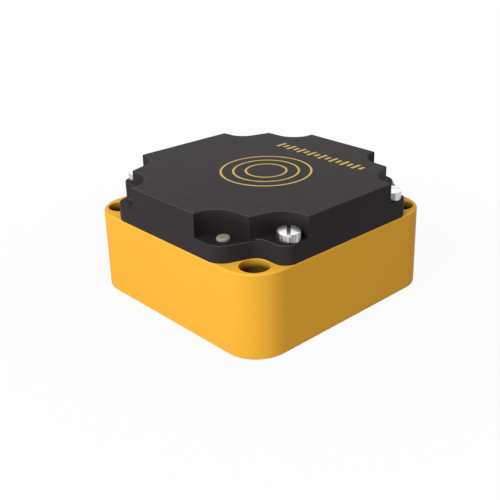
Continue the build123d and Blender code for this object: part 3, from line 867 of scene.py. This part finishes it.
def build_print_tree(material, ring_count, tick_count, printed, centres):
    """Rings swept along circles, and a row of bars of two heights."""
    tree, given = node_group("face_print", "GeometryNodeTree", {
        "Float": printed, "Int": {"tick_count": tick_count}, "Vector": centres,
    }, GEOMETRY_RESULT)
    ring_points = 160

    def moved(geometry, place):
        return add_node(
            tree, "GeometryNodeTransform", {"Geometry": geometry, "Translation": place}
        ).outputs[0]

    line = add_node(
        tree, "GeometryNodeCurvePrimitiveQuadrilateral",
        {"Width": given["Line width"], "Height": given["Ink height"]}, mode="RECTANGLE",
    ).outputs[0]
    together = add_node(tree, "GeometryNodeJoinGeometry")
    for index in range(ring_count):
        further = product(tree, given["Ring step"], index)
        radius = calculate(tree, "ADD", given["Ring radius"], further)
        circle = add_node(
            tree, "GeometryNodeCurvePrimitiveCircle",
            {"Resolution": ring_points, "Radius": radius}, mode="RADIUS",
        ).outputs[0]
        ring = add_node(
            tree, "GeometryNodeCurveToMesh", {"Curve": circle, "Profile Curve": line}
        ).outputs[0]
        tree.links.new(moved(ring, given["Ring centre"]), together.inputs[0])

    last = calculate(tree, "SUBTRACT", given["Tick count"], 1.0)
    start = combined(tree, product(tree, last, given["Tick pitch"], -0.5))
    row = add_node(tree, "GeometryNodeMeshLine", {
        "Count": given["Tick count"], "Start Location": start,
        "Offset": combined(tree, given["Tick pitch"]),
    }, mode="OFFSET").outputs[0]
    size = combined(tree, given["Tick width"], given["Tick height"], given["Ink height"])
    bar = add_node(tree, "GeometryNodeMeshCube", {"Size": size}).outputs[0]
    order = add_node(tree, "GeometryNodeInputIndex").outputs[0]
    odd = calculate(tree, "MODULO", order, 2.0)
    lost = calculate(tree, "SUBTRACT", 1.0, given["Short share"])
    share = calculate(tree, "SUBTRACT", 1.0, product(tree, odd, lost))
    bars = add_node(
        tree, "GeometryNodeInstanceOnPoints",
        {"Points": row, "Instance": bar, "Scale": combined(tree, 1.0, share, 1.0)},
    ).outputs[0]
    tree.links.new(moved(bars, given["Scale centre"]), together.inputs[0])
    close_tree(tree, together.outputs[0], material)
    return tree


class SENSOR_OT_face_print(bpy.types.Operator):
    """Print the three rings and a plain scale on the sensing face"""

    bl_idname = "sensor.face_print"
    bl_label = "Print"

    def execute(self, context):
        sizes = context.scene.sensor_print
        ink = moulded(
            "face_ink", context.scene.sensor_colours.ink, gloss=0.5, tone=0.06,
            grain=0.15 * MM, relief=0.004 * MM,
        )
        printed = {name: getattr(sizes, name) for name in PRINT_SIZES}
        # The lower half of the ink is sunk in the face
        printed["ink_height"] = 2 * sizes.ink_thickness
        face = HEAD_HIGH.z
        centres = {
            "ring_centre": (2.85 * MM, -0.1 * MM, face),
            "scale_centre": (4.95 * MM, 23.0 * MM, face),
        }
        count = sizes.tick_count
        tree = build_print_tree(ink, sizes.ring_count, count, printed, centres)
        piece = applied_piece("face_print", tree, tick_count=count, **printed, **centres)
        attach(piece, "root")
        return {"FINISHED"}


def screw_centre(number):
    """Axis of a head screw, from its CAD node's box, as (x, y)."""
    low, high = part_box(f"head_screw_{number}")
    return ((low.x + high.x) / 2, (low.y + high.y) / 2)


def screw_master(sizes, tip, head_top, groove_low, groove_high, material):
    """One head screw about the Z axis: slotted cheese head and threaded shank."""
    crown_rise = 0.3 * MM
    crown_steps = 10
    rim_steps = 6
    foot_steps = 2
    foot_round = 0.1 * MM
    sunk = 0.2 * MM
    tip_taper = 0.4 * MM
    crown_edge = sizes.head_radius - sizes.edge_round
    side_top = head_top - crown_rise - sizes.edge_round
    head_bottom = side_top - sizes.side_height

    def upright(radius, angle, height):
        return Vector((radius * math.cos(angle), radius * math.sin(angle), height))

    builder = bmesh.new()
    crown = [
        (crown_edge * index / crown_steps, head_top - crown_rise * (index / crown_steps) ** 2)
        for index in range(crown_steps, -1, -1)
    ]
    rim = arc_rows(crown_edge, side_top, sizes.edge_round, 0, math.pi / 2, rim_steps)[:-1]
    foot = arc_rows(
        sizes.head_radius - foot_round, head_bottom + foot_round, foot_round, -math.pi / 2, 0,
        foot_steps,
    )
    lathe(builder, [(0, head_bottom), *foot, *rim, *crown], ROUND_SEGMENTS, upright)
    head = piece_from(builder, "screw_head_master", material)

    cutter = bmesh.new()
    slot_height = 2 * sizes.slot_depth
    slot_size = (4 * sizes.head_radius, sizes.slot_width, slot_height)
    add_box(cutter, slot_size, (0, 0, head_top - sizes.slot_depth + slot_height / 2))
    tool = piece_from(cutter, "screw_slot_tool", material)
    cut = head.modifiers.new("slot", "BOOLEAN")
    cut.object = tool
    cut.solver = "EXACT"
    soften = head.modifiers.new("edges", "BEVEL")
    soften.width = 0.07 * MM
    soften.segments = 2
    soften.angle_limit = math.radians(35)
    evaluated = head.evaluated_get(bpy.context.evaluated_depsgraph_get())
    cut_head = bpy.data.meshes.new_from_object(evaluated)
    bpy.data.objects.remove(head)
    bpy.data.objects.remove(tool)

    builder = bmesh.new()
    builder.from_mesh(cut_head)
    core, neck, pitch = sizes.thread_radius, sizes.neck_radius, sizes.thread_pitch
    thread = threaded_rows(
        tip + tip_taper, groove_low, core, pitch, THREAD_DEPTH * pitch, THREAD_ROWS
    )
    shank = [(0, tip), (core - tip_taper, tip), *thread, (neck, groove_low), (neck, groove_high)]
    shank += [(core, groove_high), (core, head_bottom + sunk), (0, head_bottom + sunk)]
    lathe(builder, shank, SHANK_SEGMENTS, upright)
    return piece_from(builder, "screw_master", material)


def build_screw_tree(material):
    """Place one copy of the master screw on its axis, turned to its slot's angle."""
    tree, given = node_group("screw_placing", "GeometryNodeTree", {
        "Object": {"master": None}, "Vector": {"place": (0, 0, 0)}, "Float": {"slot_angle": 0.0},
    }, GEOMETRY_RESULT)
    shape = add_node(tree, "GeometryNodeObjectInfo", {"Object": given["Master"]})
    point = add_node(tree, "GeometryNodePoints", {"Count": 1, "Position": given["Place"]})
    turn = combined(tree, z=given["Slot angle"])
    placed = add_node(tree, "GeometryNodeInstanceOnPoints", {
        "Points": point.outputs[0],
        "Instance": shape.outputs["Geometry"],
        "Rotation": add_node(tree, "FunctionNodeEulerToRotation", {0: turn}).outputs[0],
    })
    close_tree(tree, placed.outputs[0], material)
    return tree


class SENSOR_OT_head_screws(bpy.types.Operator):
    """Make the four captive slotted screws and finish the rings that hold them"""

    bl_idname = "sensor.head_screws"
    bl_label = "Head screws"

    def execute(self, context):
        sizes = context.scene.sensor_screw
        axis = screw_centre(2)
        steel = turned(
            "screw_steel", context.scene.sensor_colours.screw, gloss=0.35, spread=0.14,
            centre=axis,
        )
        # Painted reflection: the head's side is darkened with upright streaks, and the crown is
        # left bright
        side_start = sizes.head_radius - 0.12 * MM
        streak_side(steel, axis, side_start, darkest=0.24, brightest=0.75)
        low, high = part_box("head_screw_1")
        ring_low, ring_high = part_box("captive_ring_1")
        play = 0.05 * MM
        master = screw_master(sizes, low.z, high.z, ring_low.z - play, ring_high.z + play, steel)
        tree = build_screw_tree(steel)
        for number in CORNERS:
            x, y = screw_centre(number)
            piece = applied_piece(
                f"slotted_screw_{number}", tree, master=master, place=(x, y, 0),
                slot_angle=math.copysign(math.pi / 4, x * y),
            )
            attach(piece, f"head_screw_{number}")
            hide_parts(f"head_screw_{number}")
        bpy.data.objects.remove(master)
        ring = turned("ring_steel", (0.46, 0.46, 0.45), gloss=0.35, centre=axis)
        dress_corners("captive_ring", ring)
        return {"FINISHED"}


class SENSOR_OT_connector(bpy.types.Operator):
    """Make the plated connector shell with its thread, and finish what is inside it"""

    bl_idname = "sensor.connector"
    bl_label = "Connector"

    def execute(self, context):
        sizes = context.scene.sensor_plug
        edge = 0.2 * MM
        facing = 1.2 * MM
        undercut = 0.7 * MM
        lead_in = 0.6 * MM
        collar = 1.4 * MM
        entry_pitch = 1.5 * MM
        entry_depth = 0.8 * MM
        entry_rows = 10
        key_width = 1.0 * MM
        key_height = 0.9 * MM
        axis_height = (SHELL_LOW.z + SHELL_HIGH.z) / 2
        shank_start, plug_end = SHELL_LOW.y, SHELL_HIGH.y
        hex_start = SEAL_HIGH.y
        neck_start = hex_start + sizes.hex_length
        plug_start = neck_start + sizes.neck_length
        thread_start = plug_start + collar
        socket_floor = plug_end - sizes.socket_depth
        hex_corner = (SHELL_HIGH.x - SHELL_LOW.x) / 2
        flats = sizes.hex_flats / 2
        bore, socket = sizes.carrier_radius, sizes.socket_radius
        sleeve, neck, shank = sizes.thread_radius, sizes.neck_radius, sizes.shank_radius

        def round_plug(radius, angle, distance):
            height = axis_height + radius * math.cos(angle)
            return Vector((radius * math.sin(angle), distance, height))

        def hexagon(limit):
            def radius(angle):
                turn = (angle + math.pi / 6) % (math.pi / 3) - math.pi / 6
                return min(flats / math.cos(turn), limit)
            return radius

        entry_thread = threaded_rows(
            shank_start + edge, hex_start - edge, shank, entry_pitch, entry_depth, entry_rows
        )
        plug_thread = threaded_rows(
            thread_start + undercut, plug_end - lead_in, sleeve, sizes.thread_pitch,
            THREAD_DEPTH * sizes.thread_pitch, THREAD_ROWS,
        )
        rows = [(bore, shank_start), (shank - edge, shank_start), *entry_thread]
        rows += [(shank, hex_start), (flats - edge, hex_start)]
        rows += [(hexagon(flats + edge), hex_start + edge)]
        rows += [(hexagon(hex_corner), hex_start + edge + facing / 2)]
        rows += [(hexagon(hex_corner), neck_start - facing / 2)]
        rows += [(hexagon(flats), neck_start - edge / 2), (flats - edge, neck_start)]
        rows += [(neck, neck_start)]
        rows += arc_rows(neck - edge, plug_start - edge, edge, 0, math.pi / 2, 3)
        rows += [(sleeve - undercut, plug_start), (sleeve - undercut, thread_start)]
        rows += [*plug_thread, (sleeve - lead_in, plug_end)]
        rows += [(socket + edge, plug_end), (socket, plug_end - edge)]
        rows += [(socket, socket_floor), (bore, socket_floor)]
        builder = bmesh.new()
        lathe(builder, rows, ROUND_SEGMENTS, round_plug, closed=True)
        key_middle = plug_end - (sizes.socket_depth + edge) / 2
        add_box(
            builder, (key_width, sizes.socket_depth - edge, key_height),
            (0, key_middle, axis_height + socket),
        )
        nickel = turned(
            "nickel_shell", context.scene.sensor_colours.nickel, gloss=0.24, spread=0.16,
            pitch=0.15 * MM,
        )
        piece = piece_from(builder, "plug_shell", nickel, smooth_angle=math.radians(15))
        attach(piece, "root")
        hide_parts("connector_shell")
        dress("contact_carrier", moulded("carrier_black", (0.016, 0.016, 0.017), gloss=0.45))
        gold = turned("contact_gold", (0.80, 0.52, 0.16), gloss=0.22, pitch=0.2 * MM)
        dress_corners("contact_pin", gold)
        dress("plug_pins", gold)
        return {"FINISHED"}


class SENSOR_OT_electronics(bpy.types.Operator):
    """Finish the coil, the board, the terminals and the leads inside"""

    bl_idname = "sensor.electronics"
    bl_label = "Inside"

    def execute(self, context):
        dress("ferrite_core", moulded(
            "ferrite", (0.045, 0.045, 0.048), gloss=0.6, tone=0.12, grain=0.12 * MM,
            relief=0.02 * MM,
        ))
        dress("coil_bobbin", moulded("bobbin_plastic", (0.62, 0.58, 0.46), gloss=0.4))
        dress("coil_winding", wound("copper_winding", (0.50, 0.17, 0.045), pitch=0.35 * MM))
        board = traced_board("board_green", (0.010, 0.085, 0.030), (0.035, 0.17, 0.055))
        dress("circuit_board", board)
        dress("board_chips", moulded("chip_black", (0.014, 0.014, 0.015), gloss=0.55))
        dress("potting_resin", moulded(
            "resin", (0.020, 0.018, 0.016), gloss=0.2, tone=0.1, grain=1.5 * MM, relief=0.03 * MM
        ))
        dress("terminal_block", moulded("terminal_grey", (0.22, 0.24, 0.24), gloss=0.45))
        dress_corners("clamping_cage", turned("cage_brass", (0.62, 0.44, 0.17), gloss=0.34))
        dress_corners("clamp_screw", turned("clamp_steel", (0.50, 0.50, 0.48), gloss=0.32))
        leads = (
            ("lead_brown", (0.10, 0.035, 0.012)),
            ("lead_white", (0.78, 0.77, 0.73)),
            ("lead_blue", (0.012, 0.05, 0.28)),
            ("lead_black", (0.012, 0.012, 0.012)),
        )
        for number, (name, colour) in zip(CORNERS, leads):
            dress(f"lead_wire_{number}", moulded(name, colour, gloss=0.5, grain=0.1 * MM))
        return {"FINISHED"}


def seen_directly(tree):
    """One for camera, mirror and glass rays, and nought for all others."""
    rays = add_node(tree, "ShaderNodeLightPath").outputs
    mirrored = calculate(tree, "MAXIMUM", rays["Is Glossy Ray"], rays["Is Transmission Ray"])
    return calculate(tree, "MAXIMUM", rays["Is Camera Ray"], mirrored)


def build_floor_material():
    """Pale floor that fades into the white ground away from the object."""
    material = bpy.data.materials.new("pale_floor")
    material.use_nodes = True
    tree = material.node_tree
    tree.nodes.clear()
    away = vector_math(tree, "LENGTH", object_place(tree))
    fading = {"low": 0.06, "high": 0.16, "interpolation_type": "SMOOTHSTEP"}
    fade = remap(tree, away, to_low=0.9, to_high=1.0, **fading)
    lift = remap(tree, away, to_low=1.06, to_high=1.0, **fading)
    share = product(tree, fade, seen_directly(tree))
    matt = add_node(tree, "ShaderNodeBsdfDiffuse", {"Color": FLOOR_COLOUR}).outputs[0]
    white = add_node(
        tree, "ShaderNodeEmission", {"Color": GROUND_WHITE, "Strength": lift}
    ).outputs[0]
    mixed = add_node(tree, "ShaderNodeMixShader", {0: share, 1: matt, 2: white}).outputs[0]
    add_node(tree, "ShaderNodeOutputMaterial", {"Surface": mixed})
    return material


class SENSOR_OT_stage(bpy.types.Operator):
    """Add the floor, the world, the lamp and the camera"""

    bl_idname = "sensor.stage"
    bl_label = "Stage"

    def execute(self, context):
        scene = context.scene
        studio = scene.sensor_studio
        scene.view_settings.view_transform = "Standard"

        floor_reach = 3.0
        builder = bmesh.new()
        bmesh.ops.create_grid(builder, x_segments=1, y_segments=1, size=floor_reach)
        floor = piece_from(builder, "floor", build_floor_material())

        world = bpy.data.worlds.new("white_studio")
        scene.world = world
        world.use_nodes = True
        tree = world.node_tree
        ground = tree.nodes["Background"]
        ground.inputs["Color"].default_value = GROUND_WHITE
        extra = product(tree, seen_directly(tree), 1.0 - studio.ambient)
        tree.links.new(calculate(tree, "ADD", extra, studio.ambient), ground.inputs["Strength"])

        lamp_distance = 0.8
        lamp_place = Vector((0.10, -0.76, 0.55)).normalized() * lamp_distance
        lamp = bpy.data.lights.new("key_lamp", "AREA")
        lamp.shape = "SQUARE"
        lamp.size = 0.4
        lamp.energy = studio.key_power
        key = put_in_scene("key_lamp", lamp)
        key.location = lamp_place
        aim = Vector((0, 0, HEAD_HIGH.z / 2)) - lamp_place
        key.rotation_euler = aim.to_track_quat("-Z", "Y").to_euler()

        camera = bpy.data.cameras.new("camera")
        camera.lens = studio.lens
        camera.sensor_width = 36.0
        camera.shift_x = -0.1155
        camera.shift_y = -0.0917
        camera.clip_start = 0.01
        holder = put_in_scene("camera", camera)
        holder.location = studio.camera_place
        holder.rotation_euler = (math.pi / 2 - studio.camera_tilt, 0, studio.camera_azimuth)
        scene.camera = holder
        return {"FINISHED"}


OPERATORS = (
    SENSOR_OT_housing,
    SENSOR_OT_head,
    SENSOR_OT_windows,
    SENSOR_OT_face_print,
    SENSOR_OT_head_screws,
    SENSOR_OT_connector,
    SENSOR_OT_electronics,
    SENSOR_OT_stage,
)


class SENSOR_PT_panel(bpy.types.Panel):
    """Lists the sensor's pieces in the 3D view's sidebar"""

    bl_idname = "SENSOR_PT_panel"
    bl_label = "Block sensor"
    bl_space_type = "VIEW_3D"
    bl_region_type = "UI"
    bl_category = "Sensor"

    def draw(self, context):
        layout = self.layout
        for operator in OPERATORS:
            layout.operator(operator.bl_idname)
        for name, group in SETTINGS.items():
            box = layout.box()
            box.label(text=group.__doc__)
            for field in group.__annotations__:
                box.prop(getattr(context.scene, name), field)


CLASSES = (*SETTINGS.values(), *OPERATORS, SENSOR_PT_panel)


def register():
    """Register the classes and hang the settings on the scene."""
    for item in CLASSES:
        bpy.utils.register_class(item)
    for name, group in SETTINGS.items():
        setattr(bpy.types.Scene, name, PointerProperty(type=group))


def unregister():
    """Take the settings and the classes away again."""
    for name in SETTINGS:
        delattr(bpy.types.Scene, name)
    for item in reversed(CLASSES):
        bpy.utils.unregister_class(item)


def main():
    """Dress the model and set the stage."""
    register()
    bpy.ops.sensor.housing()
    bpy.ops.sensor.head()
    bpy.ops.sensor.windows()
    bpy.ops.sensor.face_print()
    bpy.ops.sensor.head_screws()
    bpy.ops.sensor.connector()
    bpy.ops.sensor.electronics()
    bpy.ops.sensor.stage()


if __name__ == "__main__":
    main()
